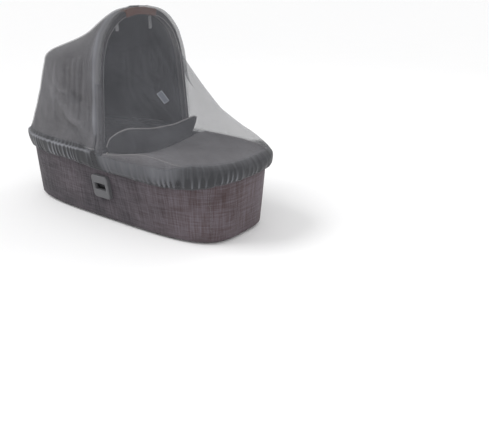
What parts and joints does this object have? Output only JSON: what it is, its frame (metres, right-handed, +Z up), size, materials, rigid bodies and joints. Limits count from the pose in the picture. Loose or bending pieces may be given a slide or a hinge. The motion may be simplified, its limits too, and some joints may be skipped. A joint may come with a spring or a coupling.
{
  "type": "mosquito net on a hooded stroller carrycot",
  "caption": "Sheer mosquito net stretched over a plain hooded carrycot, from the hood's front hoop to a gathered elastic hem, with a cloth apron and wind flap under it.",
  "frame": {"origin": "centre of the carrycot's flat underside, under the middle of its length", "axes": "+X to the foot end, -Y to the side that faces the camera, +Z up"},
  "size_m": [0.866, 0.408, 0.608],
  "materials": {
    "melange_cloth": "melange grey woven cloth with a brown tinge",
    "hood_cloth": "grey woven cloth",
    "net_mesh": "sheer dark grey mesh",
    "grip_leather": "brown leather-look",
    "grey_plastic": "matte grey plastic",
    "tape": "light grey woven tape",
    "metal": "satin metal"
  },
  "bodies": {
    "root": {"tub": "melange_cloth", "rim": "grey_plastic", "hoop": "hood_cloth", "grip": "grip_leather", "hood": "hood_cloth", "net": "net_mesh", "apron": "hood_cloth", "apron_flap": "hood_cloth", "hood_loop_near": "tape", "hood_loop_far": "tape", "net_label": "tape", "flap_stud": "metal", "adapter_near": "grey_plastic", "adapter_far": "grey_plastic"}
  },
  "joints": []
}
